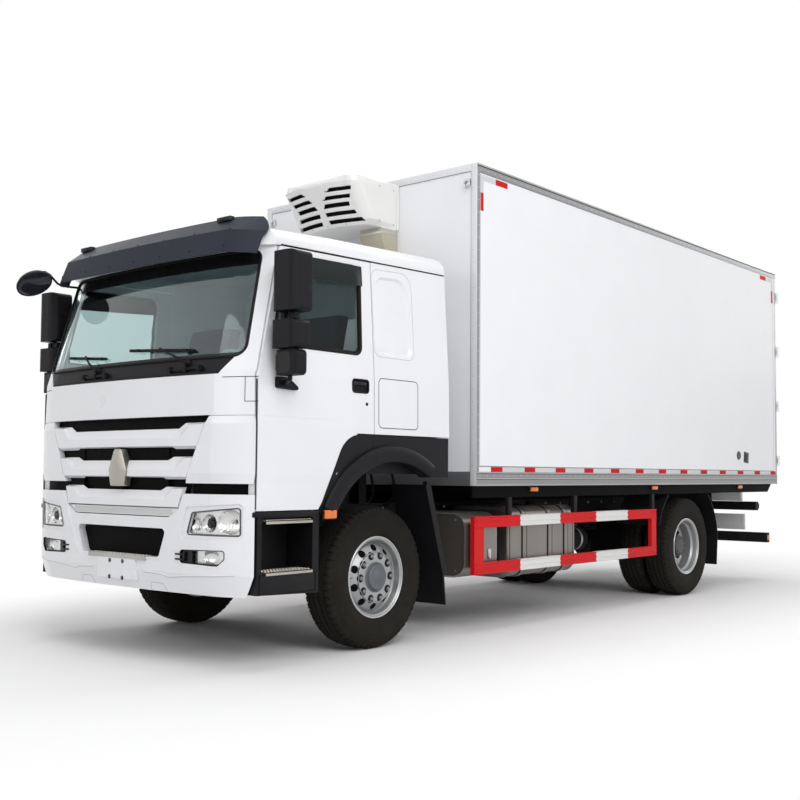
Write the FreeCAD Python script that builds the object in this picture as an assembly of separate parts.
import FreeCAD, Part
import math
import os

# Refrigerated box truck, two axles, cab over the engine.  Millimetres.
# Built about the front axle: X forward, Y to the truck's left, Z up from the ground.
# write_all() then moves each piece so that the origin is the middle of the whole length, mirror included.

V = FreeCAD.Vector

# ---- driving dimensions --------------------------------------------------------------
WHEELBASE = 5000.0
FRONT_OVERHANG = 1490.0        # front axle to the bumper's face
TYRE_R = 525.0                 # 11R22.5
TYRE_W = 279.0
BEAD_R = 285.75
FLANGE_R = 298.5
RIM_HALF = 118.0               # half the width over the rim's flanges
FRONT_TYRE_Y = 1010.0
REAR_TWIN_Y = 915.0            # middle of a twin pair
TWIN_GAP = 41.0                # between the walls of twin tyres

CAB_HALF = 1248.0
CAB_WALL = 45.0
CAB_REAR_X = -720.0
CAB_FLOOR_Z = 1290.0
GUTTER_Z = 2824.0              # roof seam above the front of the door
GUTTER_RISE = 0.0233           # and how much it climbs towards the rear
SEAM = 8.0                     # gap round each cab door
GLAZING_GAP = 0.3

DOOR_FRONT_X = 1300.0
DOOR_REAR_X = 170.0
DOOR_SILL_Z = 1042.0
BELT_Z = 1935.0
DOOR_TOP_FRONT_X = 1062.0
DOOR_HINGE_X = 1280.0
DOOR_HINGE_Y = 1236.0
DOOR_HINGE_Z = (1400.0, 1580.0)
DOOR_PIN_R = 6.0
PIN_CLEARANCE = 0.05

BOX_FRONT_X = -1068.0
BOX_LENGTH = 6350.0
BOX_HALF = 1256.0
BOX_FLOOR_Z = 1194.0
BOX_HEIGHT = 2650.0
BOX_WALL = 80.0
BOX_FLOOR_THICK = 116.0
FLOOR_PLATE = 4.0              # metal plate that covers the load floor, short of the walls
FLOOR_PLATE_GAP = 6.0
RAIL_SKIN = 4.0                # aluminium edge profiles stand this far off the panels

REAR_DOOR_THICK = 80.0
REAR_HINGE_OUT = 25.0          # hinge pin behind the door's face
REAR_PIN_R = 9.0
REAR_HINGES = 4
REAR_HINGE_LOW = 170.0         # first hinge above the box's floor
REAR_HINGE_HIGH = 304.0        # last hinge below the box's top

RAIL_TOP_Z = 1040.0
RAIL_H = 270.0
RAIL_Y = 430.0                 # outer face of a chassis rail
RAIL_FLANGE = 80.0
RAIL_WEB = 10.0
RAIL_FRONT_X = 1250.0

BEARER_STEP = 480.0
BEARER_HALF = 1180.0

KINGPIN_Y = 870.0
KINGPIN_R = 25.0
SPINDLE_R = 40.0
REAR_SPINDLE_R = 45.0
TIE_ROD_X = -180.0
ARM_Z = 430.0                  # underside of the steering arms

BUMPER_BOTTOM_Z = 480.0
BUMPER_TOP_Z = 1147.0
BUMPER_WALL = 40.0
PLATE_HOLE_R = 8.0
PLATE_HOLE_Y = 150.0           # number-plate holes, centre to centre
PLATE_HOLE_Z = 115.0
PLATE_Z = 608.0
PLATE_PAD_X = 1487.0

TWIN_HALF = (TYRE_W + TWIN_GAP) / 2
BOX_REAR_X = BOX_FRONT_X - BOX_LENGTH
BOX_TOP_Z = BOX_FLOOR_Z + BOX_HEIGHT
BOX_WALL_Z = BOX_FLOOR_Z + BOX_FLOOR_THICK
RAIL_REAR_X = BOX_REAR_X + 80.0
BEARER_LOW_Z = BOX_FLOOR_Z - 64.0
HINGE_STEP = (BOX_TOP_Z - REAR_HINGE_HIGH - BOX_WALL_Z - REAR_HINGE_LOW) / (REAR_HINGES - 1)
REAR_HINGE_Z = [BOX_WALL_Z + REAR_HINGE_LOW + i * HINGE_STEP for i in range(REAR_HINGES)]
REAR_SEAM = 7.0                # half the gap between the rear doors


# ---- small tools ---------------------------------------------------------------------
def box(x0, x1, y0, y1, z0, z1):
    return Part.makeBox(x1 - x0, y1 - y0, z1 - z0, V(x0, y0, z0))


def face_of(points):
    return Part.Face(Part.makePolygon(points + [points[0]]))


def prism_xz(points, y0, y1):
    return face_of([V(x, y0, z) for x, z in points]).extrude(V(0, y1 - y0, 0))


def prism_yz(points, x0, x1):
    return face_of([V(x0, y, z) for y, z in points]).extrude(V(x1 - x0, 0, 0))


def prism_xy(points, z0, z1):
    return face_of([V(x, y, z0) for x, y in points]).extrude(V(0, 0, z1 - z0))


def rod(start, end, radius):
    a, b = V(*start), V(*end)
    return Part.makeCylinder(radius, (b - a).Length, a, b - a)


def rounded(points, radius):
    """A closed outline of lines whose corners are arcs; radius is one number or one per corner."""
    count = len(points)
    radii = radius if isinstance(radius, (list, tuple)) else [radius] * count
    corners = []
    for i, point in enumerate(points):
        before, after = points[i - 1] - point, points[(i + 1) % count] - point
        before.normalize()
        after.normalize()
        half = before.getAngle(after) / 2
        reach = radii[i] / math.tan(half)
        middle = before + after
        middle.normalize()
        centre = point + middle * (radii[i] / math.sin(half))
        corners.append((point + before * reach, centre - middle * radii[i], point + after * reach))
    edges = []
    for i, (start, mid, end) in enumerate(corners):
        if radii[i] > 0:
            edges.append(Part.Arc(start, mid, end).toShape())
        following = corners[(i + 1) % count][0]
        if (following - end).Length > 1e-6:
            edges.append(Part.LineSegment(end, following).toShape())
    return Part.Face(Part.Wire(edges))


def rounded_xz(points, radius, y0, y1):
    return rounded([V(x, y0, z) for x, z in points], radius).extrude(V(0, y1 - y0, 0))


def rounded_yz(points, radius, x0, x1):
    return rounded([V(x0, y, z) for y, z in points], radius).extrude(V(x1 - x0, 0, 0))


def fuse(first, *others):
    return first.fuse(list(others)).removeSplitter()


def mirror(shape):
    return shape.mirror(V(0, 0, 0), V(0, 1, 0))


def pair(shape):
    return [shape, mirror(shape)]


def revolve_y(profile, x, z):
    """Turns an outline of (y, radius) points about the axle line through (x, z)."""
    outline = face_of([V(x, y, z + r) for y, r in profile])
    return outline.revolve(V(x, 0, z), V(0, 1, 0), 360)


PIECES = {}


def save(node, *shapes):
    solids = [solid for shape in shapes for solid in shape.Solids]
    PIECES[node] = solids[0] if len(solids) == 1 else Part.makeCompound(solids)


def write_all():
    """Moves every piece so that the origin is the middle of the length and width, then writes it."""
    front = PIECES["front_mirror"].optimalBoundingBox(False).XMax
    rear = PIECES["door_gear_left"].optimalBoundingBox(False).XMin
    middle = (front + rear) / 2
    print("front axle stands at x = %.6f" % -middle)
    for node, piece in PIECES.items():
        placed = piece.copy()
        placed.translate(V(-middle, 0, 0))
        placed.exportStep("parts/" + node + ".step")
        print(node, len(placed.Solids), "ok" if placed.isValid() else "INVALID")


# ---- the cab's skin: plan outlines at a few heights, joined by ruled faces --------------
# height, front at the middle, front at edge_y, start of the flat side, half width, edge_y
CAB_PLAN = [
    (1000.0, 1468.0, 1426.0, 1294.0, CAB_HALF - 4, 950.0),
    (1217.0, 1468.0, 1426.0, 1294.0, CAB_HALF - 4, 950.0),
    (1285.0, 1484.0, 1442.0, 1300.0, CAB_HALF, 950.0),
    (1610.0, 1482.0, 1440.0, 1300.0, CAB_HALF, 950.0),
    (1660.0, 1466.0, 1424.0, 1297.0, CAB_HALF - 2, 950.0),
    (1960.0, 1458.0, 1410.0, 1293.0, CAB_HALF - 5, 945.0),
    (2900.0, 1205.0, 1160.0, 1030.0, CAB_HALF - 62, 890.0),
]
BUMPER_PLAN = [
    (BUMPER_BOTTOM_Z, 1430.0, 1388.0, 1262.0, CAB_HALF - 12, 950.0),
    (620.0, 1478.0, 1434.0, 1300.0, CAB_HALF, 950.0),
    (BUMPER_TOP_Z, FRONT_OVERHANG, 1444.0, 1300.0, CAB_HALF, 950.0),
]
VISOR_PLAN = [
    (2752.0, 1402.0, 1378.0, 1190.0, 1122.0, 960.0),
    (2915.0, 1368.0, 1330.0, 1130.0, 1125.0, 930.0),
    (3032.0, 1225.0, 1195.0, 1050.0, 1075.0, 880.0),
]
CORNER_X = 0.62
CORNER_Y = 0.54


def plan_wire(row, inset, rear_x):
    z, front, edge, side, half, edge_y = row
    front, edge, half = front - inset, edge - inset, half - inset
    side -= 0.3 * inset
    edge_y -= 0.45 * inset
    rear_x += inset
    corner_x = side + CORNER_X * (edge - side)
    corner_y = edge_y + CORNER_Y * (half - edge_y)
    edges = [
        Part.LineSegment(V(rear_x, -half, z), V(side, -half, z)).toShape(),
        Part.Arc(V(side, -half, z), V(corner_x, -corner_y, z), V(edge, -edge_y, z)).toShape(),
        Part.Arc(V(edge, -edge_y, z), V(front, 0, z), V(edge, edge_y, z)).toShape(),
        Part.Arc(V(edge, edge_y, z), V(corner_x, corner_y, z), V(side, half, z)).toShape(),
        Part.LineSegment(V(side, half, z), V(rear_x, half, z)).toShape(),
        Part.LineSegment(V(rear_x, half, z), V(rear_x, -half, z)).toShape(),
    ]
    return Part.Wire(edges)


def skin(table, inset, rear_x=CAB_REAR_X):
    return Part.makeLoft([plan_wire(row, inset, rear_x) for row in table], True, True)


def gutter(x):
    return GUTTER_Z + (DOOR_TOP_FRONT_X - x) * GUTTER_RISE


def above_gutter(lift):
    back, ahead = -2000.0, 2000.0
    return prism_xz([(back, gutter(back) + lift), (ahead, gutter(ahead) + lift), (ahead, 5000.0), (back, 5000.0)],
                    -2000.0, 2000.0)


def door_outline(grow):
    """The door from the side; grow widens it, for the opening that it closes."""
    front, rear = DOOR_FRONT_X + grow, DOOR_REAR_X - grow
    top_front = DOOR_TOP_FRONT_X + grow
    return [
        (front, DOOR_SILL_Z - grow),
        (735.0 - 0.6 * grow, DOOR_SILL_Z - grow),
        (345.0 - 0.6 * grow, 1575.0 - grow),
        (rear, 1575.0 - grow),
        (rear, gutter(rear) - SEAM + grow),
        (top_front, gutter(top_front) - SEAM + grow),
        (front, BELT_Z),
    ]


CAB_OUTER = skin(CAB_PLAN, 0.0)
CAB_INNER = skin(CAB_PLAN, CAB_WALL)
CAB_SHELL = CAB_OUTER.cut(CAB_INNER).cut(above_gutter(0.0))
BUMPER_SHELL = skin(BUMPER_PLAN, 0.0).cut(skin(BUMPER_PLAN, BUMPER_WALL))
SIDE_WINDOW = [(305.0, 2150.0), (1160.0, 2150.0), (1010.0, 2762.0), (290.0, 2778.0)]
SCREEN_BOTTOM_Z = 2058.0
SCREEN = [(-1140.0, SCREEN_BOTTOM_Z), (1140.0, SCREEN_BOTTOM_Z), (1080.0, 2790.0), (-1080.0, 2790.0)]
COWL = [(-975.0, 1940.0), (975.0, 1940.0), (1136.0, SCREEN_BOTTOM_Z + 60), (-1136.0, SCREEN_BOTTOM_Z + 60)]
GRILLE_TOP_Z = 1668.0
GRILLE_LOW_Z = 990.0
GRILLE_GAP = 5.0
# half width of the grille at a few heights
GRILLE_EDGE = [(GRILLE_LOW_Z, 540.0), (1046.0, 640.0), (1232.0, 706.0), (GRILLE_TOP_Z, 912.0)]
CORNER_BOTTOM_Z = 1217.0
SLEEPER_DEEP = 20.0


def layer(table, outer, inner):
    """A thin skin between two insets of the same plan."""
    return skin(table, outer).cut(skin(table, inner))


def grille_outline(grow):
    right = [(half + grow, z) for z, half in GRILLE_EDGE]
    return [(-y, z) for y, z in reversed(right)] + right


# ---- cab -------------------------------------------------------------------------------
def cab_front():
    ahead = prism_xz([
        (DOOR_FRONT_X + SEAM, CORNER_BOTTOM_Z), (DOOR_FRONT_X + SEAM, BELT_Z),
        (DOOR_TOP_FRONT_X + SEAM, gutter(DOOR_TOP_FRONT_X)), (DOOR_TOP_FRONT_X + SEAM, 2900.0),
        (1700.0, 2900.0), (1700.0, CORNER_BOTTOM_Z)], -1400.0, 1400.0)
    body = CAB_SHELL.common(ahead)
    body = body.cut(rounded_yz(SCREEN, 70.0, 900.0, 1700.0)).cut(prism_yz(COWL, 1350.0, 1700.0))
    body = body.cut(prism_yz(grille_outline(GRILLE_GAP), 1380.0, 1700.0))
    seam = layer(CAB_PLAN, -5.0, 9.0).common(box(1200.0, 1700.0, -1400.0, 1400.0, 1661.0, 1665.0))
    body = body.cut(seam)
    firewall = box(1335.0, 1360.0, -1120.0, 1120.0, 1060.0, 1925.0)
    firewall = firewall.common(skin(CAB_PLAN, CAB_WALL + MESH_DEEP + 1))
    joint = box(1335.0, 1440.0, -900.0, 900.0, 1690.0, 1730.0).common(CAB_INNER)
    body = fuse(body, firewall, joint)
    brackets = []
    for z in DOOR_HINGE_Z:
        foot = box(DOOR_HINGE_X - 30, 1325.0, 1180.0, 1196.0, z - 18, z + 18)
        finger = prism_xy([(DOOR_HINGE_X - 6, DOOR_HINGE_Y), (DOOR_HINGE_X + 6, DOOR_HINGE_Y),
                           (DOOR_HINGE_X - 12, 1190.0), (DOOR_HINGE_X - 28, 1190.0)], z - 18, z + 18)
        eye = rod((DOOR_HINGE_X, DOOR_HINGE_Y, z - 18), (DOOR_HINGE_X, DOOR_HINGE_Y, z + 18), 9.5)
        hole = rod((DOOR_HINGE_X, DOOR_HINGE_Y, z - 30), (DOOR_HINGE_X, DOOR_HINGE_Y, z + 30),
                   DOOR_PIN_R + PIN_CLEARANCE)
        brackets += pair(fuse(foot, finger, eye).cut(hole))
    return fuse(body, *brackets)


def cowl_panel():
    """The dark panel between the bonnet and the glass; the wipers' shafts come out of it."""
    low, high = COWL[0][1] + GLAZING_GAP, SCREEN_BOTTOM_Z - GLAZING_GAP
    slope = (COWL[2][0] - COWL[1][0]) / (COWL[2][1] - COWL[1][1])
    half_low = COWL[1][0] - 1.3 * GLAZING_GAP
    half_high = half_low + slope * (high - low)
    panel = layer(CAB_PLAN, 6.0, CAB_WALL).common(
        prism_yz([(-half_low, low), (half_low, low), (half_high, high), (-half_high, high)], 1350.0, 1700.0))
    lip = layer(CAB_PLAN, 0.0, 20.0).common(
        prism_yz([(-half_low, low), (half_low, low), (half_low + 12 * slope, low + 12),
                  (-half_low - 12 * slope, low + 12)], 1350.0, 1700.0))
    return fuse(panel, lip)


def cab_sides():
    reach = prism_xz([
        (CAB_REAR_X + CAB_WALL, 1575.0), (DOOR_REAR_X - SEAM, 1575.0),
        (DOOR_REAR_X - SEAM, 2900.0), (CAB_REAR_X + CAB_WALL, 2900.0)], 1000.0, 1400.0)
    side = CAB_SHELL.common(reach)
    # the panel beside the bunk is pressed in, with sloping edges
    wires = []
    for y, grow in ((1250.0, 34.0), (1150.0, -56.0)):
        low, high = 2148.0 + 34.0 - grow, 2805.0 - 34.0 + grow
        corners = [V(118.0 + grow, y, low), V(-268.0 - grow, y, low), V(-262.0 - grow, y, high + 8),
                   V(126.0 + grow, y, high - 14)]
        wires.append(rounded(corners, [62.0, 62.0, 116.0, 72.0]).OuterWire)
    side = side.cut(CAB_OUTER.cut(skin(CAB_PLAN, SLEEPER_DEEP)).common(Part.makeLoft(wires, True, True)))
    frame = rounded_xz([(120.0, 1620.0), (-335.0, 1620.0), (-335.0, 1990.0), (120.0, 1990.0)], 40.0,
                       1000.0, 1400.0)
    lid = rounded_xz([(114.0, 1626.0), (-329.0, 1626.0), (-329.0, 1984.0), (114.0, 1984.0)], 34.0,
                     1000.0, 1400.0)
    side = side.cut(CAB_OUTER.cut(skin(CAB_PLAN, 8.0)).common(frame.cut(lid)))
    return pair(side)


def cab_rear_wall():
    wall = CAB_SHELL.common(box(CAB_REAR_X - 10, CAB_REAR_X + CAB_WALL, -1400, 1400, CAB_FLOOR_Z, 2900))
    window = rounded_yz([(-420.0, 2250.0), (420.0, 2250.0), (420.0, 2600.0), (-420.0, 2600.0)], 60.0,
                        -900.0, -600.0)
    for side in (-1, 1):
        y0, y1 = sorted((side * 1148.0, side * 1400.0))
        wall = wall.cut(box(CAB_REAR_X - 10, CAB_REAR_X + 100, y0, y1, 1000.0, 1575.0))
    return wall.cut(window)


def roof_section(x, half, base, crest, inset):
    half, crest = half - inset, crest - inset
    shoulder_y, shoulder_z = half - 150.0, crest - 38.0
    bulge_y, bulge_z = half - 34.0, base + 0.68 * (shoulder_z - base)
    edges = [
        Part.LineSegment(V(x, -half, base), V(x, half, base)).toShape(),
        Part.Arc(V(x, half, base), V(x, bulge_y, bulge_z), V(x, shoulder_y, shoulder_z)).toShape(),
        Part.Arc(V(x, shoulder_y, shoulder_z), V(x, 0, crest), V(x, -shoulder_y, shoulder_z)).toShape(),
        Part.Arc(V(x, -shoulder_y, shoulder_z), V(x, -bulge_y, bulge_z), V(x, -half, base)).toShape(),
    ]
    return Part.Wire(edges)


# station, half width at the gutter, crest height above the gutter
ROOF = [(1205.0, 1040.0, 75.0), (1090.0, 1176.0, 165.0), (500.0, 1192.0, 180.0), (CAB_REAR_X, 1190.0, 190.0)]


def roof_loft(inset, drop):
    wires = []
    for x, half, rise in ROOF:
        if x == ROOF[0][0]:
            x -= inset
        if x == CAB_REAR_X:
            x += inset
        wires.append(roof_section(x, half, gutter(x) - drop, gutter(x) + rise, inset))
    return Part.makeLoft(wires, True, True)


def cab_roof():
    return roof_loft(0.0, 0.0).cut(roof_loft(CAB_WALL, 5.0))


def cab_floor():
    floor = box(CAB_REAR_X + CAB_WALL, 1335.0, -1148.0, 1148.0, CAB_FLOOR_Z, CAB_FLOOR_Z + 40)
    tunnel = box(CAB_REAR_X + CAB_WALL, 900.0, -450.0, 450.0, CAB_FLOOR_Z + 40, CAB_FLOOR_Z + 190)
    bunk = box(CAB_REAR_X + CAB_WALL, -120.0, -1148.0, 1148.0, CAB_FLOOR_Z + 40, CAB_FLOOR_Z + 460)
    return fuse(floor, tunnel, bunk).common(skin(CAB_PLAN, CAB_WALL + 3, CAB_REAR_X - 3))


def windscreen():
    return layer(CAB_PLAN, 14.0, 20.0).common(
        rounded_yz([(-1140.0 + GLAZING_GAP, 2058.0 + GLAZING_GAP), (1140.0 - GLAZING_GAP, 2058.0 + GLAZING_GAP),
                    (1080.0 - GLAZING_GAP, 2790.0 - GLAZING_GAP), (-1080.0 + GLAZING_GAP, 2790.0 - GLAZING_GAP)],
                   70.0, 900.0, 1700.0)).common(box(1000, 1700, -1300, 1300, 1900, 2900))


def cab_door():
    door = CAB_SHELL.common(prism_xz(door_outline(0.0), 1000.0, 1400.0))
    door = door.cut(rounded_xz(SIDE_WINDOW, [50.0, 40.0, 40.0, 70.0], 1000.0, 1400.0))
    pins = []
    for z in DOOR_HINGE_Z:
        # the pocket is open inwards and forwards, where the bracket swings in it
        pocket = box(DOOR_HINGE_X - 36, DOOR_FRONT_X + 5, 1100.0, DOOR_HINGE_Y, z - 24, z + 24)
        knuckle = rod((DOOR_HINGE_X, DOOR_HINGE_Y, z - 24), (DOOR_HINGE_X, DOOR_HINGE_Y, z + 24), 10.0)
        door = door.cut(pocket).cut(knuckle)
        pins.append(rod((DOOR_HINGE_X, DOOR_HINGE_Y, z - 30), (DOOR_HINGE_X, DOOR_HINGE_Y, z + 30), DOOR_PIN_R))
    handle = rounded_xz([(230.0, 1870.0), (398.0, 1870.0), (398.0, 1961.0), (230.0, 1961.0)], 22.0, 1230.0, 1400.0)
    return fuse(door.cut(handle), *pins)


def side_glass():
    gap = GLAZING_GAP
    outline = [(305.0 + gap, 2150.0 + gap), (1160.0 - 1.3 * gap, 2150.0 + gap),
               (1010.0 - 1.3 * gap, 2762.0 - gap), (290.0 + gap, 2778.0 - gap)]
    return layer(CAB_PLAN, 16.0, 22.0).common(rounded_xz(outline, [50.0, 40.0, 40.0, 70.0], 1000.0, 1400.0))


# Each bar of the grille is drawn by four lines of (distance from the middle, height): the shelf's back
# edge, the shelf's front edge, the front face's lower edge and the underside's back edge.
GRILLE_BARS = [
    ([(0.0, 1583.0), (607.0, 1583.0), (674.0, 1620.0), (960.0, 1624.0)],
     [(0.0, 1523.0), (655.0, 1523.0), (742.0, 1606.0), (960.0, 1614.0)],
     [(0.0, 1466.0), (960.0, 1466.0)],
     [(0.0, 1458.0), (548.0, 1458.0), (578.0, 1446.0), (960.0, 1446.0)]),
    ([(0.0, 1370.0), (502.0, 1370.0), (561.0, 1394.0), (960.0, 1397.0)],
     [(0.0, 1306.0), (600.0, 1306.0), (700.0, 1385.0), (960.0, 1389.0)],
     [(0.0, 1260.0), (960.0, 1260.0)],
     [(0.0, 1252.0), (462.0, 1252.0), (486.0, 1242.0), (960.0, 1242.0)]),
    ([(0.0, 1165.0), (432.0, 1165.0), (491.0, 1190.0), (960.0, 1190.0)],
     [(0.0, 1104.0), (500.0, 1104.0), (590.0, 1178.0), (960.0, 1182.0)],
     [(0.0, 1056.0), (960.0, 1056.0)],
     [(0.0, 1048.0), (960.0, 1048.0)]),
]
GRILLE_BENDS = sorted({220.0, 420.0, 860.0} | {y for bar in GRILLE_BARS for line in bar for y, z in line})
GRILLE_FRONT = 1481.0
GRILLE_BOW = 42.0              # how far the front falls back towards the corner panels
BAR_DEEP = 34.0
MESH_DEEP = 8.0
GRILLE_RIBS = (-500.0, 0.0, 500.0)


def grille_x(y):
    return GRILLE_FRONT - GRILLE_BOW * (y / 950.0) ** 2


def height_on(line, y):
    y = abs(y)
    for (y0, z0), (y1, z1) in zip(line, line[1:]):
        if y <= y1:
            return z0 + (z1 - z0) * (y - y0) / (y1 - y0)


def grille_bar(lines, inset=0.0):
    """A bevelled bar: the same four-sided section at each bend of its lines."""
    stations = sorted(set(GRILLE_BENDS) | {-y for y in GRILLE_BENDS})
    wires = []
    for y in stations:
        front, back = grille_x(y) - inset, grille_x(y) - BAR_DEEP
        shelf_back, shelf_front, low_front, low_back = [height_on(line, y) for line in lines]
        corners = [V(back, y, shelf_back), V(front, y, shelf_front), V(front, y, low_front), V(back, y, low_back)]
        wires.append(Part.makePolygon(corners + corners[:1]))
    return Part.makeLoft(wires, True, True)


def bar_back(y):
    """How far forward the bars' backs stand at y; they run straight from bend to bend."""
    return height_on([(at, grille_x(at) - BAR_DEEP) for at in GRILLE_BENDS], y)


def grille():
    outline = prism_yz(grille_outline(0.0), 1300.0, 1700.0)
    bars = [grille_bar(lines) for lines in GRILLE_BARS]
    bars.append(grille_bar([[(0.0, z), (960.0, z)] for z in (1046.0, 1046.0, 992.0, 992.0)], 14.0))
    return [bar.common(outline) for bar in bars]


def grille_mesh():
    mesh = layer(CAB_PLAN, CAB_WALL + 0.4, CAB_WALL + MESH_DEEP).common(
        prism_yz([(-640.0, 1030.0), (640.0, 1030.0), (715.0, 1217.0), (925.0, 1690.0), (-925.0, 1690.0),
                  (-715.0, 1217.0)], 1350.0, 1700.0))
    strip = layer(CAB_PLAN, CAB_WALL + 0.4, CAB_WALL + MESH_DEEP).common(
        box(1300, 1700, 727, 1230, BUMPER_TOP_Z - 20, CORNER_BOTTOM_Z + 20))
    ribs = [box(1415.0, min(bar_back(y - 10), bar_back(y + 10)) - GLAZING_GAP, y - 10, y + 10, 1000.0, 1575.0)
            for y in GRILLE_RIBS]
    return [fuse(mesh, *ribs)] + pair(strip)


def visor():
    wrap = skin(VISOR_PLAN, 0.0).cut(skin(VISOR_PLAN, 9.0))
    end_line = [(1205.0, 2700.0), (1205.0, 2760.0), (1160.0, 2870.0), (1100.0, 2940.0), (1086.0, 3000.0),
                (1086.0, 3100.0), (1500.0, 3100.0), (1500.0, 2700.0)]
    wrap = wrap.common(prism_xz(end_line, -1300.0, 1300.0))
    stays = [box(1150.0, 1400.0, y - 18, y + 18, 2850.0, 2862.0).common(skin(VISOR_PLAN, 4.0))
             for y in (-800.0, 0.0, 800.0)]
    return fuse(wrap, *stays).cut(roof_loft(0.0, 200.0)).cut(CAB_OUTER)


HEADLAMP = [(724.0, 878.0), (1154.0, 878.0), (1154.0, 1060.0), (776.0, 1024.0)]
LAMP_RECESS = [(672.0, 850.0), (1176.0, 850.0), (1176.0, 1088.0), (728.0, 1062.0)]
FOG_LAMP = [(676.0, 690.0), (1008.0, 682.0), (1060.0, 726.0), (1060.0, 782.0), (676.0, 774.0)]
INTAKE = [(-444.0, 712.0), (444.0, 712.0), (520.0, 908.0), (-520.0, 908.0)]
INTAKE_DEEP = 66.0
LAMP_STEP = 12.0               # depth of the recess round each headlamp


def mirrored(outline):
    return [(-y, z) for y, z in reversed(outline)]


def bumper():
    ahead = box(DOOR_FRONT_X + SEAM, 1700, -1400, 1400, 0, 2000)
    body = BUMPER_SHELL.common(ahead)
    body = body.cut(prism_yz([(-548.0, GRILLE_LOW_Z - 4), (548.0, GRILLE_LOW_Z - 4), (650.0, 1046.0),
                              (714.0, 1200.0), (-714.0, 1200.0), (-650.0, 1046.0)], 1200, 1700))
    middle = [(-482.0, 694.0), (482.0, 694.0), (664.0, 1052.0), (740.0, 1200.0), (-740.0, 1200.0), (-664.0, 1052.0)]
    body = body.cut(layer(BUMPER_PLAN, -5.0, 10.0).common(prism_yz(middle, 1300.0, 1700.0)))
    step = layer(BUMPER_PLAN, -5.0, LAMP_STEP)
    for outline in (LAMP_RECESS, mirrored(LAMP_RECESS)):
        body = body.cut(step.common(rounded_yz(outline, 26.0, 1200.0, 1700.0)))
    for outline in (HEADLAMP, mirrored(HEADLAMP), FOG_LAMP, mirrored(FOG_LAMP)):
        body = body.cut(rounded_yz(outline, 18.0, 1200.0, 1700.0))
    hole = rounded_yz(INTAKE, 30.0, 1200.0, 1700.0)
    sleeve = rounded_yz([(y * 1.03, z + (14 if z > 800 else -14)) for y, z in INTAKE], 42.0, 1200.0, 1700.0)
    sleeve = sleeve.common(layer(BUMPER_PLAN, 12.0, INTAKE_DEEP))
    pad = box(1415.0, PLATE_PAD_X, -222.0, 222.0, 545.0, 688.0)
    tread = prism_yz([(-336.0, 690.0), (336.0, 690.0), (336.0, 712.0), (-336.0, 712.0)], 1436.0, 1482.0)
    stays = [box(RAIL_FRONT_X + 40, 1450.0, side * 440 - 35, side * 440 + 35, 600.0, 680.0) for side in (-1, 1)]
    body = fuse(body, sleeve).cut(hole)
    body = fuse(body, pad, tread, *stays)
    for y in (-PLATE_HOLE_Y / 2, PLATE_HOLE_Y / 2):
        for z in (PLATE_Z - PLATE_HOLE_Z / 2, PLATE_Z + PLATE_HOLE_Z / 2):
            body = body.cut(rod((1300.0, y, z), (1600.0, y, z), PLATE_HOLE_R))
    return body


def front_lamps():
    lamps = []
    glass = layer(BUMPER_PLAN, LAMP_STEP + 2, BUMPER_WALL)
    for outline in (HEADLAMP, FOG_LAMP):
        rim_line = rounded([V(1200.0, y, z) for y, z in outline], 18.0)
        hole = rim_line.makeOffset2D(-GLAZING_GAP).extrude(V(500.0, 0, 0))
        lamps += pair(glass.common(hole))
    return lamps


def lower_intake():
    return layer(BUMPER_PLAN, INTAKE_DEEP + 0.4, INTAKE_DEEP + 8).common(
        prism_yz([(-456.0, 698.0), (456.0, 698.0), (532.0, 920.0), (-532.0, 920.0)], 1300, 1600))


STEP_FRONT_X = 1292.0
STEP_REAR_X = 727.0


def cab_steps():
    body = prism_xz([(STEP_REAR_X, 478.0), (STEP_FRONT_X, 497.0), (STEP_FRONT_X, 1034.0), (STEP_REAR_X, 1034.0)],
                    930.0, 1246.0)
    upper = box(STEP_REAR_X + 60, STEP_FRONT_X - 40, 985.0, 1300.0, 640.0, 975.0)
    foot = box(STEP_REAR_X + 60, STEP_FRONT_X - 40, 985.0, 1300.0, 520.0, 585.0)
    toe = box(STEP_REAR_X + 60, STEP_FRONT_X - 40, 1180.0, 1300.0, 975.0, 995.0)
    hanger = box(900.0, 960.0, RAIL_Y, 930.0, 860.0, 940.0)
    return pair(fuse(body.cut(upper).cut(foot).cut(toe), hanger))


def arc_band(outer, inner, y0, y1):
    """A curved band between two three-point arcs seen from the side."""
    o, i = [V(x, y0, z) for x, z in outer], [V(x, y0, z) for x, z in inner]
    edges = [Part.Arc(o[0], o[1], o[2]).toShape(), Part.LineSegment(o[2], i[2]).toShape(),
             Part.Arc(i[2], i[1], i[0]).toShape(), Part.LineSegment(i[0], o[0]).toShape()]
    return Part.Face(Part.Wire(edges)).extrude(V(0, y1 - y0, 0))


ARCH_INNER = [(575.0, 1000.0), (75.0, 1364.0), (-460.0, 1262.0)]
ARCH_OUTER = [(704.0, 1000.0), (110.0, 1484.0), (-560.0, 1345.0)]


def arch_cladding():
    outline = [(727.0 - SEAM, 1036.0), (336.0, 1567.0), (CAB_REAR_X, 1567.0), (CAB_REAR_X, 1262.0),
               (-460.0, 1262.0), (-460.0, 1150.0), (560.0, 1000.0), (704.0, 1000.0)]
    panel = prism_xz(outline, 1200.0, 1238.0)
    opening = arc_band(ARCH_INNER, [(575.0, 900.0), (0.0, 900.0), (-460.0, 900.01)], 1100.0, 1300.0)
    below = box(-470.0, 585.0, 1100.0, 1300.0, 800.0, 1001.0)
    panel = panel.cut(opening).cut(below)
    flare = arc_band(ARCH_OUTER, ARCH_INNER, 1160.0, 1262.0)
    shelf = box(-640.0, 140.0, 1148.0, 1201.0, 1540.0, 1567.0)
    return pair(fuse(panel, flare, shelf))


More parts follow.
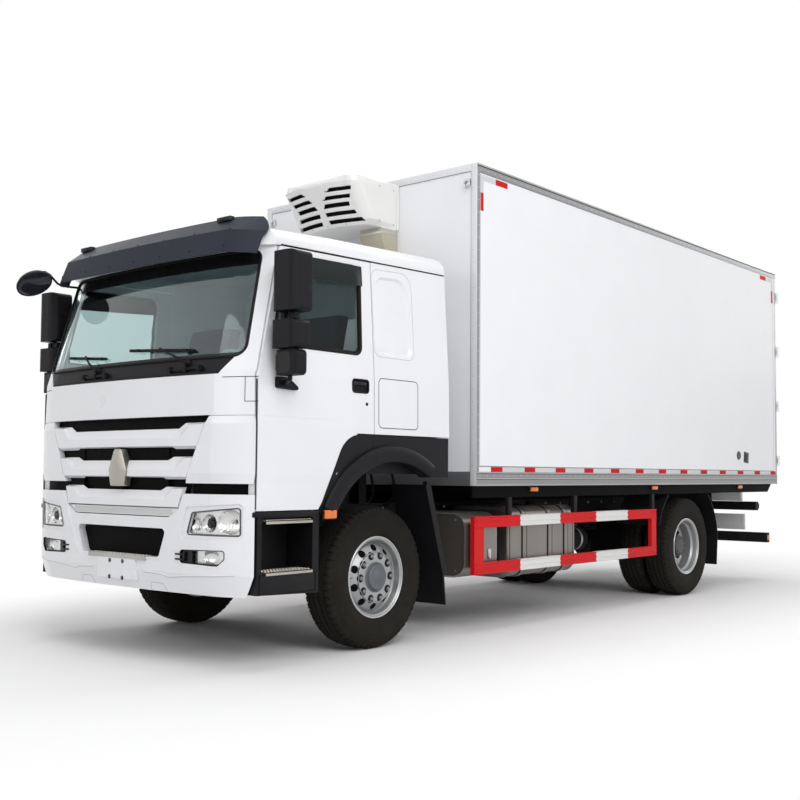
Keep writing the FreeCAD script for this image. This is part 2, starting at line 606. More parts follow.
def seats():
    out = []
    for y in (-620.0, 620.0):
        cushion = rounded_yz([(y - 250, 1640.0), (y + 250, 1640.0), (y + 250, 1780.0), (y - 250, 1780.0)], 40.0,
                             180.0, 700.0)
        back = prism_xz([(190.0, 1780.0), (330.0, 1780.0), (150.0, 2480.0), (40.0, 2480.0)], y - 240, y + 240)
        base = box(240.0, 640.0, y - 160, y + 160, CAB_FLOOR_Z + 40, 1640.0)
        out.append(fuse(cushion, back, base))
    return out


def dashboard():
    body = prism_xz([(1335.0, 1650.0), (1335.0, 2010.0), (1240.0, 2045.0), (980.0, 1960.0), (960.0, 1800.0),
                     (1080.0, 1650.0)], -1140.0, 1140.0)
    column = rod((1040.0, 620.0, 1780.0), (820.0, 620.0, 2010.0), 32.0)
    hub = V(810.0, 620.0, 2020.0)
    axis = V(-0.55, 0.0, 0.83)
    wheel = Part.makeTorus(230.0, 16.0, hub, axis)
    spokes = []
    for turn in (90, 210, 330):
        side = V(0, 1, 0)
        along = FreeCAD.Rotation(axis, turn).multVec(side)
        spokes.append(Part.makeCylinder(12.0, 226.0, hub, along))
    boss = Part.makeCylinder(55.0, 30.0, hub - axis * 15, axis)
    body = body.common(skin(CAB_PLAN, CAB_WALL + 2, CAB_REAR_X))
    return fuse(body, column, wheel, boss, *spokes)


MIRROR_HEADS = [
    (1066.0, 1240.0, 1275.0, 1495.0, 2342.0, 2736.0, 70.0),
    (1076.0, 1235.0, 1270.0, 1492.0, 2098.0, 2284.0, 55.0),
    (1100.0, 1195.0, 1276.0, 1484.0, 1925.0, 2092.0, 44.0),
]


def mirror_head():
    heads = []
    # rear, front, inner side, outer side, bottom, top, rounding of the leading corners
    for x0, x1, y0, y1, z0, z1, radius in MIRROR_HEADS:
        face = rounded_yz([(y0, z0), (y1, z0), (y1, z1), (y0, z1)], 32.0, x0, x1)
        plan = rounded([V(x0, y0, z0), V(x0, y1, z0), V(x1, y1, z0), V(x1, y0, z0)], [12.0, 12.0, radius, radius])
        heads.append(face.common(plan.extrude(V(0, 0, z1 - z0))))
    post = rod((1150.0, 1385.0, 1900.0), (1150.0, 1385.0, 2600.0), 16.0)
    arm = rod((1150.0, 1385.0, 1905.0), (1080.0, 1262.0, 1880.0), 17.0)
    foot = rounded_xz([(930.0, 1840.0), (1150.0, 1850.0), (1150.0, 1925.0), (1060.0, 1925.0)], 14.0,
                      CAB_HALF - 12, 1278.0)
    high_arm = rod((1150.0, 1385.0, 2560.0), (1130.0, 1240.0, 2560.0), 13.0)
    return fuse(post, *heads, arm, foot, high_arm).cut(CAB_OUTER)


# ---- load box ----------------------------------------------------------------------------
def box_panels():
    inner_x = BOX_REAR_X + BOX_WALL
    wall_x = BOX_FRONT_X - BOX_WALL
    side = box(inner_x, wall_x, BOX_HALF - BOX_WALL, BOX_HALF, BOX_WALL_Z, BOX_TOP_Z - BOX_WALL)
    front = box(wall_x, BOX_FRONT_X, -BOX_HALF, BOX_HALF, BOX_WALL_Z, BOX_TOP_Z - BOX_WALL)
    roof = box(inner_x, BOX_FRONT_X, -BOX_HALF, BOX_HALF, BOX_TOP_Z - BOX_WALL, BOX_TOP_Z)
    floor = box(inner_x, BOX_FRONT_X, -BOX_HALF, BOX_HALF, BOX_FLOOR_Z, BOX_WALL_Z)
    half = BOX_HALF - BOX_WALL - FLOOR_PLATE_GAP
    plate = box(inner_x, wall_x - FLOOR_PLATE_GAP, -half, half, BOX_WALL_Z, BOX_WALL_Z + FLOOR_PLATE)
    floor = fuse(floor, plate)
    save("box_side_walls", *pair(side))
    save("box_front_wall", front)
    save("box_roof", roof)
    save("box_floor", floor)


def box_edge_rails():
    """Aluminium angles along the long edges and up the front corners."""
    t = RAIL_SKIN
    rear, front = BOX_REAR_X, BOX_FRONT_X
    low = box(rear, front + t, BOX_HALF, BOX_HALF + t, BOX_FLOOR_Z, BOX_WALL_Z)
    for z in (BOX_FLOOR_Z + 4, BOX_FLOOR_Z + 56, BOX_WALL_Z - 12):
        low = low.fuse(box(rear, front + t, BOX_HALF + t, BOX_HALF + t + 3, z, z + 8))
    high = box(rear, front + t, BOX_HALF, BOX_HALF + t, BOX_TOP_Z - 60, BOX_TOP_Z + t)
    cap = box(rear, front + t, BOX_HALF - 60, BOX_HALF, BOX_TOP_Z, BOX_TOP_Z + t)
    post = box(front - 34, front + t, BOX_HALF, BOX_HALF + t, BOX_WALL_Z, BOX_TOP_Z - 60)
    post_front = box(front, front + t, BOX_HALF - 60, BOX_HALF, BOX_FLOOR_Z, BOX_TOP_Z + t)
    side = fuse(low, high, cap, post, post_front)
    across = box(front, front + t, -BOX_HALF + 60, BOX_HALF - 60, BOX_TOP_Z - 60, BOX_TOP_Z + t)
    across_low = box(front, front + t, -BOX_HALF + 60, BOX_HALF - 60, BOX_FLOOR_Z, BOX_WALL_Z)
    return fuse(side, mirror(side), across, across_low)


def box_rear_frame():
    x0, x1 = BOX_REAR_X, BOX_REAR_X + BOX_WALL
    outer = box(x0, x1, -BOX_HALF, BOX_HALF, BOX_FLOOR_Z, BOX_TOP_Z)
    hole = box(x0 - 10, x1 + 10, -BOX_HALF + BOX_WALL, BOX_HALF - BOX_WALL, BOX_WALL_Z, BOX_TOP_Z - BOX_WALL)
    body = outer.cut(hole)
    pin_x = BOX_REAR_X - REAR_HINGE_OUT
    pin_y = BOX_HALF + 14
    for z in REAR_HINGE_Z:
        for end in (-1, 1):
            middle = z + end * 48
            leaf = box(pin_x - 14, BOX_REAR_X, pin_y - 40, pin_y, middle - 18, middle + 18)
            knuckle = rod((pin_x, pin_y, middle - 18), (pin_x, pin_y, middle + 18), 14.0)
            body = fuse(body, *pair(leaf), *pair(knuckle))
        body = fuse(body, *pair(rod((pin_x, pin_y, z - 60), (pin_x, pin_y, z + 60), REAR_PIN_R)))
    return body


def rear_door():
    """The left leaf; its straps reach round the post to the hinge pins."""
    edge = BOX_HALF - BOX_WALL - 8
    leaf = box(BOX_REAR_X, BOX_REAR_X + REAR_DOOR_THICK, REAR_SEAM, edge, BOX_WALL_Z + 8, BOX_TOP_Z - BOX_WALL - 8)
    pin_x, pin_y = BOX_REAR_X - REAR_HINGE_OUT, BOX_HALF + 14
    for z in REAR_HINGE_Z:
        strap = box(pin_x - 5, BOX_REAR_X, edge - 180, edge, z - 28, z + 28)
        arm = box(pin_x - 5, pin_x + 5, edge, pin_y, z - 28, z + 28)
        eye = rod((pin_x, pin_y, z - 28), (pin_x, pin_y, z + 28), 14.0)
        bore = rod((pin_x, pin_y, z - 60), (pin_x, pin_y, z + 60), REAR_PIN_R + PIN_CLEARANCE)
        leaf = fuse(leaf, strap, arm, eye).cut(bore)
    return leaf


def door_gear():
    """Two lock rods with their guides and a lever on each rear door."""
    out = []
    for y in (240.0, 620.0):
        x = BOX_REAR_X - 36
        bar = rod((x, y, BOX_WALL_Z + 30), (x, y, BOX_TOP_Z - BOX_WALL - 30), 13.0)
        guides = [box(BOX_REAR_X - 56, BOX_REAR_X, y - 28, y + 28, z - 20, z + 20)
                  for z in [BOX_WALL_Z + 50, BOX_TOP_Z - 144] + [h + 60 for h in REAR_HINGE_Z[:-1]]]
        lever = rounded_yz([(y - 10, 1930.0), (y + 220, 1930.0), (y + 220, 1962.0), (y - 10, 1962.0)], 14.0,
                           BOX_REAR_X - 62, BOX_REAR_X - 44)
        out.append(fuse(bar, lever, *guides))
    return out


# side outline of the refrigeration unit's housing at its middle
UNIT_LOW = BOX_TOP_Z - 446.0
UNIT_WALL_X = BOX_FRONT_X + RAIL_SKIN
UNIT_SIDE = [(UNIT_WALL_X, UNIT_LOW), (-618.0, UNIT_LOW), (-590.0, UNIT_LOW + 34),
             (-406.0, UNIT_LOW + 330), (-452.0, UNIT_LOW + 376), (UNIT_WALL_X, UNIT_LOW + 404)]
UNIT_HALF = 404.0              # half width where it meets the box
# height over UNIT_LOW, front at the middle, front at the corners, half width, radius of the corners
UNIT_ROWS = [
    (0.0, -620.0, -668.0, 388.0, 92.0),
    (42.0, -584.0, -634.0, 434.0, 112.0),
    (330.0, -404.0, -456.0, 440.0, 112.0),
    (378.0, -404.0, -460.0, 430.0, 112.0),
    (412.0, -404.0, -470.0, 392.0, 100.0),
]
LOUVRE_DEEP = 34.0
# each louvre: bottom and top over UNIT_LOW, inner end at the bottom and top, outer end at the bottom and top
LOUVRES = [
    (262.0, 292.0, 122.0, 164.0, 364.0, 376.0),
    (204.0, 234.0, 68.0, 100.0, 326.0, 342.0),
    (144.0, 178.0, 34.0, 60.0, 300.0, 306.0),
    (82.0, 114.0, 36.0, 32.0, 340.0, 326.0),
    (24.0, 54.0, 44.0, 38.0, 384.0, 368.0),
]


def unit_skin(inset):
    """The housing's rounded plan outlines, joined by ruled faces."""
    turn = math.sqrt(0.5)
    wires = []
    for rise, front, edge, half, radius in UNIT_ROWS:
        z = UNIT_LOW + rise
        front, edge, half, wall_half = front - inset, edge - inset, half - inset, UNIT_HALF - inset
        side, edge_y = edge - radius, half - radius
        mid_x, mid_y = side + turn * radius, edge_y + turn * radius
        wires.append(Part.Wire([
            Part.LineSegment(V(UNIT_WALL_X, -wall_half, z), V(side, -half, z)).toShape(),
            Part.Arc(V(side, -half, z), V(mid_x, -mid_y, z), V(edge, -edge_y, z)).toShape(),
            Part.Arc(V(edge, -edge_y, z), V(front, 0, z), V(edge, edge_y, z)).toShape(),
            Part.Arc(V(edge, edge_y, z), V(mid_x, mid_y, z), V(side, half, z)).toShape(),
            Part.LineSegment(V(side, half, z), V(UNIT_WALL_X, wall_half, z)).toShape(),
            Part.LineSegment(V(UNIT_WALL_X, wall_half, z), V(UNIT_WALL_X, -wall_half, z)).toShape(),
        ]))
    return Part.makeLoft(wires, True, True)


def refrigeration_unit():
    profile = rounded_xz(UNIT_SIDE, [0.0, 22.0, 30.0, 34.0, 30.0, 0.0], -460.0, 460.0)
    body = unit_skin(0.0).common(profile)
    depth = unit_skin(-5.0).cut(unit_skin(LOUVRE_DEEP))
    for low, high, in_low, in_high, out_low, out_high in LOUVRES:
        outline = [(in_low, UNIT_LOW + low), (out_low, UNIT_LOW + low), (out_high, UNIT_LOW + high),
                   (in_high, UNIT_LOW + high)]
        for line in (outline, mirrored(outline)):
            body = body.cut(prism_yz(line, -760.0, -300.0).common(depth))
    duct = prism_xz([(UNIT_WALL_X, UNIT_LOW - 318), (-960.0, UNIT_LOW - 318), (-850.0, UNIT_LOW - 68),
                     (-850.0, UNIT_LOW + 20), (UNIT_WALL_X, UNIT_LOW + 20)], 160.0, 400.0)
    rim = box(UNIT_WALL_X, UNIT_WALL_X + 26, -UNIT_HALF - 12, UNIT_HALF + 12, UNIT_LOW + 4, UNIT_LOW + 396)
    return fuse(body, duct, rim)


# ---- chassis -----------------------------------------------------------------------------
CROSS_START = -1480.0
CROSS_STEP = 745.0


def chassis_frame():
    bottom = RAIL_TOP_Z - RAIL_H
    rail = box(RAIL_REAR_X, RAIL_FRONT_X, RAIL_Y - RAIL_WEB, RAIL_Y, bottom, RAIL_TOP_Z)
    rail = rail.fuse(box(RAIL_REAR_X, RAIL_FRONT_X, RAIL_Y - RAIL_FLANGE, RAIL_Y, bottom, bottom + RAIL_WEB))
    rail = rail.fuse(box(RAIL_REAR_X, RAIL_FRONT_X, RAIL_Y - RAIL_FLANGE, RAIL_Y, RAIL_TOP_Z - RAIL_WEB, RAIL_TOP_Z))
    bars = []
    x = CROSS_START
    while x > RAIL_REAR_X + 60:
        bars.append(box(x - 40, x + 40, -RAIL_Y + RAIL_WEB, RAIL_Y - RAIL_WEB, bottom + 90, bottom + 230))
        x -= CROSS_STEP
    nose = box(RAIL_FRONT_X, RAIL_FRONT_X + 40, -480.0, 480.0, 570.0, 940.0)
    mounts = []
    for x in (1120.0, CAB_REAR_X + 120.0):
        mounts += pair(box(x - 45, x + 45, RAIL_Y - 70, RAIL_Y + 10, RAIL_TOP_Z, CAB_FLOOR_Z))
    return fuse(rail, mirror(rail), nose, *bars, *mounts)


def box_subframe():
    """Long sleepers on the frame rails and the skirt along each side."""
    beam = box(RAIL_REAR_X, BOX_FRONT_X - 20, RAIL_Y - 75, RAIL_Y - 5, RAIL_TOP_Z, BEARER_LOW_Z)
    skirt = prism_xz([(BOX_FRONT_X - 20, BOX_FLOOR_Z - 98), (BOX_FRONT_X - 20, BOX_FLOOR_Z),
                      (BOX_REAR_X + 60, BOX_FLOOR_Z), (BOX_REAR_X + 170, BOX_FLOOR_Z - 98)],
                     BEARER_HALF, BEARER_HALF + 24)
    return pair(beam) + pair(skirt)


def box_bearers():
    """Cross bearers between the sleepers and the box's floor."""
    out = []
    x = BOX_FRONT_X - 120
    while x > BOX_REAR_X + 180:
        bar = box(x - 30, x + 30, -BEARER_HALF, BEARER_HALF, BEARER_LOW_Z, BOX_FLOOR_Z)
        out.append(bar)
        x -= BEARER_STEP
    return out


def spring_pack(x, half, z, leaves, width):
    """A bowed leaf spring: stacked plates that get shorter towards the bottom."""
    parts = []
    for i in range(leaves):
        reach = half * (1 - 0.16 * i)
        drop = i * 15.0
        bow = 70.0 * (reach / half) ** 2
        top = [V(x - reach, RAIL_Y - 8 - width, z + bow - drop), V(x, RAIL_Y - 8 - width, z - drop),
               V(x + reach, RAIL_Y - 8 - width, z + bow - drop)]
        low = [p - V(0, 0, 15) for p in top]
        edges = [Part.Arc(*top).toShape(), Part.LineSegment(top[2], low[2]).toShape(),
                 Part.Arc(low[2], low[1], low[0]).toShape(), Part.LineSegment(low[0], top[0]).toShape()]
        parts.append(Part.Face(Part.Wire(edges)).extrude(V(0, width, 0)))
    return parts


def leaf_springs():
    out = []
    for x, half, z, leaves, width in ((0.0, 780.0, 655.0, 4, 76.0), (-WHEELBASE, 820.0, 690.0, 5, 80.0)):
        parts = spring_pack(x, half, z, leaves, width)
        y0 = RAIL_Y - 8 - width
        clamp = box(x - 55, x + 55, y0 - 4, RAIL_Y - 4, z - 15 * leaves - 12, z + 14)
        eyes = [box(x + end * half - 25, x + end * half + 25, y0, RAIL_Y - 8, z + 50, RAIL_TOP_Z - RAIL_H)
                for end in (-1, 1)]
        out += pair(fuse(clamp, *parts, *eyes))
    return out


def front_axle():
    half = [(0.0, 400.0), (620.0, 400.0), (760.0, 484.0), (KINGPIN_Y, 484.0), (KINGPIN_Y, 566.0), (700.0, 566.0),
            (560.0, 500.0), (0.0, 500.0)]
    arm = prism_yz(half, -42.0, 42.0)
    eye = rod((0, KINGPIN_Y, 480), (0, KINGPIN_Y, 570), 42.0)
    seat = box(-60.0, 60.0, RAIL_Y - 90, RAIL_Y, 490.0, 583.0)
    side = fuse(arm, eye, seat).cut(rod((0, KINGPIN_Y, 400), (0, KINGPIN_Y, 700), KINGPIN_R + PIN_CLEARANCE))
    return fuse(side, mirror(side))


def knuckle():
    """Left steering knuckle: fork round the axle's eye, kingpin, stub axle and steering arm."""
    yoke = box(-48.0, 48.0, KINGPIN_Y - 45, KINGPIN_Y + 64, ARM_Z, 620.0)
    yoke = yoke.cut(box(-60.0, 60.0, KINGPIN_Y - 60, KINGPIN_Y + 48, 474.0, 576.0))
    pin = rod((0, KINGPIN_Y, ARM_Z), (0, KINGPIN_Y, 620), KINGPIN_R)
    stub = rod((0, KINGPIN_Y + 50, TYRE_R), (0, FRONT_TYRE_Y + 60, TYRE_R), SPINDLE_R)
    plate = rod((0, KINGPIN_Y + 50, TYRE_R), (0, KINGPIN_Y + 64, TYRE_R), 120.0)
    arm = box(TIE_ROD_X, -20.0, KINGPIN_Y - 24, KINGPIN_Y + 24, ARM_Z, ARM_Z + 22)
    eye = rod((TIE_ROD_X, KINGPIN_Y, ARM_Z), (TIE_ROD_X, KINGPIN_Y, ARM_Z + 22), 26.0)
    hole = rod((TIE_ROD_X, KINGPIN_Y, 400), (TIE_ROD_X, KINGPIN_Y, 480), 13.0)
    return fuse(yoke, pin, stub, plate, arm, eye).cut(hole)


def tie_rod():
    z = ARM_Z - 20
    bar = rod((TIE_ROD_X, -KINGPIN_Y, z), (TIE_ROD_X, KINGPIN_Y, z), 15.0)
    ends = []
    for y, reach in ((KINGPIN_Y, PIN_CLEARANCE), (-KINGPIN_Y, 3.0)):
        ends.append(rod((TIE_ROD_X, y, z - 18), (TIE_ROD_X, y, z + 17), 24.0))
        ends.append(rod((TIE_ROD_X, y, z), (TIE_ROD_X, y, ARM_Z + 34), 13.0 - reach))
    return fuse(bar, *ends)


def tyre(y):
    """Closed section: flat tread with a small crown, rounded shoulders, bulged walls."""
    h = TYRE_W / 2
    centre = V(0, y, TYRE_R)

    def at(side, radius):
        return V(0, y + side, TYRE_R + radius)

    bead = BEAD_R + 0.35
    edges = [
        Part.Arc(at(-0.78 * h, TYRE_R - 14), at(0, TYRE_R), at(0.78 * h, TYRE_R - 14)).toShape(),
        Part.Arc(at(0.78 * h, TYRE_R - 14), at(0.92 * h, TYRE_R - 30), at(0.95 * h, TYRE_R - 62)).toShape(),
        Part.Arc(at(0.95 * h, TYRE_R - 62), at(h, 400.0), at(RIM_HALF - 16, FLANGE_R + 2)).toShape(),
        Part.LineSegment(at(RIM_HALF - 16, FLANGE_R + 2), at(RIM_HALF - 16, bead)).toShape(),
        Part.LineSegment(at(RIM_HALF - 16, bead), at(16 - RIM_HALF, bead)).toShape(),
        Part.LineSegment(at(16 - RIM_HALF, bead), at(16 - RIM_HALF, FLANGE_R + 2)).toShape(),
        Part.Arc(at(16 - RIM_HALF, FLANGE_R + 2), at(-h, 400.0), at(-0.95 * h, TYRE_R - 62)).toShape(),
        Part.Arc(at(-0.95 * h, TYRE_R - 62), at(-0.92 * h, TYRE_R - 30), at(-0.78 * h, TYRE_R - 14)).toShape(),
    ]
    return Part.Face(Part.Wire(edges)).revolve(centre, V(0, 1, 0), 360)


def rim(y, disc):
    """Rim barrel and disc as one section; disc lists the disc's outer face as (y from the middle, radius)."""
    w = RIM_HALF
    barrel = [(y - w, FLANGE_R), (y - w + 14, FLANGE_R), (y - w + 15, BEAD_R), (y - 60, BEAD_R - 8),
              (y - 40, 262.0), (y + 40, 262.0), (y + 60, BEAD_R - 8), (y + w - 15, BEAD_R), (y + w - 14, FLANGE_R),
              (y + w, FLANGE_R), (y + w, BEAD_R - 2), (y + w - 8, BEAD_R - 12), (y + 66, BEAD_R - 20), (y + 46, 250.0),
              (y - 46, 250.0), (y - 66, BEAD_R - 20), (y - w + 8, BEAD_R - 12), (y - w, BEAD_R - 2)]
    plate = [(y + a, r) for a, r in disc] + [(y + a - 14, r) for a, r in reversed(disc)]
    body = revolve_y(barrel, 0.0, TYRE_R).fuse(revolve_y(plate, 0.0, TYRE_R))
    return body


def hand_holes(y, radius):
    holes = []
    for i in range(10):
        turn = math.radians(36 * i + 18)
        x, z = radius * math.cos(turn), TYRE_R + radius * math.sin(turn)
        holes.append(rod((x, y - 200, z), (x, y + 200, z), 29.0))
    return holes


def front_wheel():
    y = FRONT_TYRE_Y
    # convex disc: it rises from the barrel to the bolting face
    disc = [(52.0, 252.0), (74.0, 238.0), (100.0, 200.0), (112.0, 176.0), (112.0, 60.0)]
    body = rim(y, disc)
    hub = rod((0, KINGPIN_Y + 72, TYRE_R), (0, y + 128, TYRE_R), 88.0)
    drum = revolve_y([(KINGPIN_Y + 72, 210.0), (y + 40, 210.0), (y + 40, 80.0), (y + 26, 80.0), (y + 26, 196.0),
                      (KINGPIN_Y + 72, 196.0)], 0.0, TYRE_R)
    body = fuse(body, hub, drum).cut(rod((0, 0, TYRE_R), (0, y + 62, TYRE_R), SPINDLE_R + PIN_CLEARANCE))
    for hole in hand_holes(y + 260, 212.0):
        body = body.cut(hole)
    return body


def rear_wheel():
    outer, inner = REAR_TWIN_Y + TWIN_HALF, REAR_TWIN_Y - TWIN_HALF
    dish = [(-104.0, 60.0), (-104.0, 176.0), (-92.0, 200.0), (-60.0, 236.0), (-40.0, 252.0)]
    # the inner wheel is the same pressing turned round, so the bolting faces meet
    back = [(118.0, 60.0), (118.0, 176.0), (104.0, 200.0), (74.0, 236.0), (54.0, 252.0)]
    body = fuse(rim(outer, dish), rim(inner, back))
    hub = rod((0, 640, TYRE_R), (0, outer + 30, TYRE_R), 105.0)
    drum = revolve_y([(640.0, 210.0), (REAR_TWIN_Y - 60, 210.0), (REAR_TWIN_Y - 60, 90.0), (REAR_TWIN_Y - 76, 90.0),
                      (REAR_TWIN_Y - 76, 196.0), (640.0, 196.0)], 0.0, TYRE_R)
    join = rod((0, inner + 90, TYRE_R), (0, outer - 90, TYRE_R), 176.0)
    body = fuse(body, hub, drum, join).cut(rod((0, 0, TYRE_R), (0, outer + 10, TYRE_R), REAR_SPINDLE_R + PIN_CLEARANCE))
    return body.translated(V(-WHEELBASE, 0, 0))


def rear_axle():
    z = TYRE_R
    tube = rod((-WHEELBASE, -620, z), (-WHEELBASE, 620, z), 68.0)
    spindle = rod((-WHEELBASE, -REAR_TWIN_Y - 160, z), (-WHEELBASE, REAR_TWIN_Y + 160, z), REAR_SPINDLE_R)
    bowl = Part.makeSphere(205.0, V(-WHEELBASE, 0, z)).common(
        box(-WHEELBASE - 150, -WHEELBASE + 400, -300, 300, 0, 1000))
    nose = rod((-WHEELBASE + 120, 0, z + 10), (-WHEELBASE + 330, 0, z + 22), 80.0)
    saddles = [box(-WHEELBASE - 50, -WHEELBASE + 50, side * 386 - 42, side * 386 + 42, z + 40, 603.0)
               for side in (-1, 1)]
    shaft = rod((-WHEELBASE + 330, 0, z + 22), (-1404.2, 0, 790.0), 52.0)
    return fuse(tube, spindle, bowl, nose, shaft, *saddles)


def engine_block():
    engine = box(-600.0, 760.0, -330.0, 330.0, 690.0, 1270.0)
    gearbox = prism_xz([(-600.0, 620.0), (-1400.0, 700.0), (-1400.0, 880.0), (-600.0, 1020.0)], -230.0, 230.0)
    hangers = [box(-40.0, 60.0, side * 375 - 45, side * 375 + 45, 800.0, 860.0) for side in (-1, 1)]
    return fuse(engine, gearbox, *hangers)


def fuel_tank():
    outline = [(500.0, 405.0), (1150.0, 405.0), (1150.0, 1010.0), (500.0, 1010.0)]
    body = rounded_yz(outline, 110.0, -2748.0, -1699.0)
    cap = rod((-2400.0, 900.0, 1005.0), (-2400.0, 900.0, 1046.0), 42.0)
    bands = []
    for x in (-1920.0, -2330.0, -2600.0):
        grown = [(496.0, 401.0), (1154.0, 401.0), (1154.0, 1014.0), (496.0, 1014.0)]
        bands.append(rounded_yz(grown, 114.0, x - 32, x + 32))
    arms = [box(x - 30, x + 30, RAIL_Y, 640.0, 330.0 + 62, 404.0) for x in (-1920.0, -2600.0)]
    legs = [box(x - 30, x + 30, RAIL_Y, RAIL_Y + 30, 392.0, 1000.0) for x in (-1920.0, -2600.0)]
    return fuse(body, cap, *bands, *arms, *legs)


def side_cabinet():
    left = rounded_yz([(520.0, 446.0), (1160.0, 446.0), (1160.0, 971.0), (520.0, 971.0)], [20.0, 130.0, 130.0, 20.0],
                      -1484.0, -1054.0)
    feet = [box(x - 30, x + 30, RAIL_Y, 540.0, 800.0, 900.0) for x in (-1150.0, -1400.0)]
    left = fuse(left, *feet)
    right = rounded_yz([(-1150.0, 480.0), (-520.0, 480.0), (-520.0, 940.0), (-1150.0, 940.0)], 40.0, -2300.0, -1250.0)
    feet = [box(x - 30, x + 30, -540.0, -RAIL_Y, 800.0, 900.0) for x in (-1400.0, -2150.0)]
    return [left, fuse(right, *feet)]


def side_guard():
    front, rear = -1081.0, -WHEELBASE + 766
    y0, y1 = 1190.0, 1230.0
    rails = [box(rear, front, y0, y1, 851.0, 945.0), box(rear, front, y0, y1, 472.0, 566.0)]
    posts = [box(front - 135, front, y0, y1, 472.0, 945.0), box(rear, rear + 100, y0, y1, 472.0, 945.0)]
    hangers = [box(x - 25, x + 25, y0, y0 + 30, 945.0, BOX_FLOOR_Z - 98)
               for x in (front - 519, (front + rear) / 2, rear + 54)]
    return pair(fuse(*rails, *posts, *hangers))


def rear_underrun():
    x0, x1 = BOX_REAR_X - 10, BOX_REAR_X + 70
    low = rounded_xz([(x0, 460.0), (x1, 460.0), (x1, 582.0), (x0, 582.0)], 14.0, -1150.0, 1150.0)
    board = box(x0 + 20, x0 + 60, -845.0, 845.0, 612.0, 806.0)
    upper = box(x0, x1, -1010.0, 1010.0, 858.0, 966.0)
    plate = box(x0 + 30, RAIL_REAR_X, -815.0, 815.0, 972.0, BOX_FLOOR_Z - 98)
    legs = [box(x0 + 50, RAIL_REAR_X, side * (RAIL_Y - 45) - 35, side * (RAIL_Y - 45) + 35, 470.0, 1090.0)
            for side in (-1, 1)]
    return fuse(low, board, upper, plate, *legs)


def rear_lamps():
    x = BOX_REAR_X - 10
    out = []
    for side in (-1, 1):
        out.append(rounded_yz([(side * 850 - 170, 876.0), (side * 850 + 150, 876.0), (side * 850 + 150, 948.0),
                               (side * 850 - 170, 948.0)], 18.0, x - 34, x))
    return out


def arc_plate(x, z, radius, start, end, thick, y0, y1):
    def at(r, degrees):
        a = math.radians(degrees)
        return V(x + r * math.cos(a), y0, z + r * math.sin(a))

    middle = (start + end) / 2
    edges = [Part.Arc(at(radius, start), at(radius, middle), at(radius, end)).toShape(),
             Part.LineSegment(at(radius, end), at(radius - thick, end)).toShape(),
             Part.Arc(at(radius - thick, end), at(radius - thick, middle), at(radius - thick, start)).toShape(),
             Part.LineSegment(at(radius - thick, start), at(radius, start)).toShape()]
    return Part.Face(Part.Wire(edges)).extrude(V(0, y1 - y0, 0))


def mudguards():
    guard = prism_xz([(-462.0, 1207.0), (-680.0, 508.0), (-704.0, 270.0), (-690.0, 270.0), (-664.0, 508.0),
                      (-444.0, 1207.0)], 880.0, 1236.0)
    lip = prism_xz([(-462.0, 1232.0), (-462.0, 1207.0), (-680.0, 508.0), (-720.0, 508.0), (-500.0, 1232.0)],
                   1196.0, 1236.0)
    stay = box(-620.0, -560.0, RAIL_Y, 900.0, 850.0, 880.0)
    front = fuse(guard, lip, stay)
    hind = arc_plate(-WHEELBASE, TYRE_R, 740.0, 20.0, 50.0, 10.0, 730.0, 1226.0)
    tail = arc_plate(-WHEELBASE, TYRE_R, 740.0, 130.0, 172.0, 10.0, 730.0, 1226.0)
    x = -WHEELBASE
    flap = prism_xz([(x - 733, 628.0), (x - 700, 290.0), (x - 690, 290.0), (x - 722, 628.0)], 730.0, 1226.0)
    stays = [box(x + 580, x + 620, RAIL_Y, 760.0, 900.0, 930.0), box(x - 560, x - 520, RAIL_Y, 760.0, 1000.0, 1026.0)]
    return pair(front) + pair(fuse(hind, stays[0])) + pair(fuse(tail, flap, stays[1]))


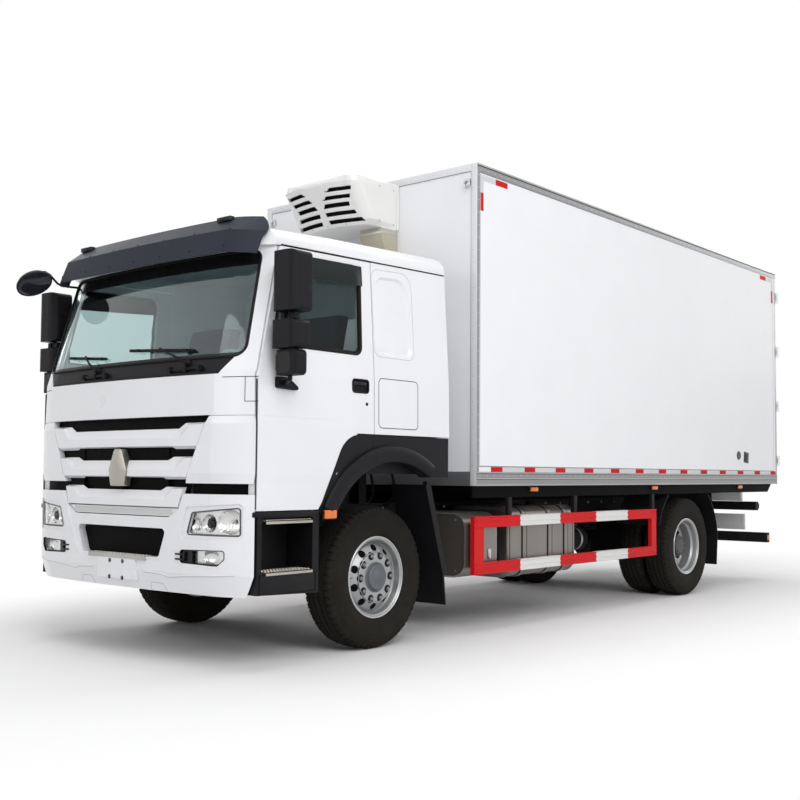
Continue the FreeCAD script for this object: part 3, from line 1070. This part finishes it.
def front_mirror():
    """Bowl mirror over the right front corner, which shows the driver the ground before the bumper."""
    middle, facing = V(1452.0, -1200.0, 2757.0), V(-0.054, 0.575, -0.817)
    facing.normalize()
    outline = [(0.0, 0.0), (0.0, 136.0), (9.0, 140.0), (22.0, 136.0), (46.0, 116.0), (68.0, 82.0), (80.0, 40.0),
               (82.0, 0.0)]
    section = face_of([V(r, 0, -d) for d, r in outline])
    bowl = section.revolve(V(0, 0, 0), V(0, 0, 1), 360)
    bowl.Placement = FreeCAD.Placement(middle, FreeCAD.Rotation(V(0, 0, 1), facing))
    # the arm rises from the bowl, bends over and comes down to the pillar
    route = [middle - facing * 66, V(1404.0, -1252.0, 2846.0), V(1376.0, -1246.0, 2872.0), V(1340.0, -1236.0, 2876.0),
             V(1306.0, -1222.0, 2856.0), V(1280.0, -1206.0, 2822.0), V(1256.0, -1190.0, 2790.0),
             V(1226.0, -1172.0, 2772.0), V(1108.0, -1092.0, 2762.0)]
    pieces = [bowl]
    for start, end in zip(route, route[1:]):
        pieces.append(rod(start, end, 9.0))
        pieces.append(Part.makeSphere(9.0, end))
    return fuse(*pieces).cut(CAB_OUTER)


def main():
    os.makedirs("parts", exist_ok=True)
    save("cab_front", cab_front())
    save("cab_sides", *cab_sides())
    save("cab_rear_wall", cab_rear_wall())
    save("cab_roof", cab_roof())
    save("cab_floor", cab_floor())
    save("windscreen", windscreen())
    save("cowl_panel", cowl_panel())
    for name, turn in (("left", lambda s: s), ("right", mirror)):
        save("cab_door_" + name, turn(cab_door()))
        save("door_glass_" + name, turn(side_glass()))
        save("mirror_" + name, turn(mirror_head()))
        save("knuckle_" + name, turn(knuckle()))
        save("front_tyre_" + name, turn(tyre(FRONT_TYRE_Y)))
        save("front_wheel_" + name, turn(front_wheel()))
        twin = [tyre(REAR_TWIN_Y + side * TWIN_HALF).translated(V(-WHEELBASE, 0, 0)) for side in (-1, 1)]
        save("rear_tyres_" + name, *[turn(t) for t in twin])
        save("rear_wheel_" + name, turn(rear_wheel()))
        save("rear_door_" + name, turn(rear_door()))
        save("door_gear_" + name, *[turn(g) for g in door_gear()])
    save("tie_rod", tie_rod())
    save("grille", *grille())
    save("grille_mesh", *grille_mesh(), lower_intake())
    save("sun_visor", visor())
    save("front_mirror", front_mirror())
    save("bumper", bumper())
    save("front_lamps", *front_lamps())
    save("cab_steps", *cab_steps())
    save("arch_cladding", *arch_cladding())
    save("seats", *seats())
    save("dashboard", dashboard())
    box_panels()
    save("box_edge_rails", box_edge_rails())
    save("box_rear_frame", box_rear_frame())
    save("box_subframe", *box_subframe())
    save("box_bearers", *box_bearers())
    save("refrigeration_unit", refrigeration_unit())
    save("chassis_frame", chassis_frame())
    save("leaf_springs", *leaf_springs())
    save("front_axle", front_axle())
    save("rear_axle", rear_axle())
    save("engine_block", engine_block())
    save("fuel_tank", fuel_tank())
    save("side_cabinets", *side_cabinet())
    save("side_guards", *side_guard())
    save("rear_underrun", rear_underrun())
    save("rear_lamps", *rear_lamps())
    save("mudguards", *mudguards())
    write_all()


main()
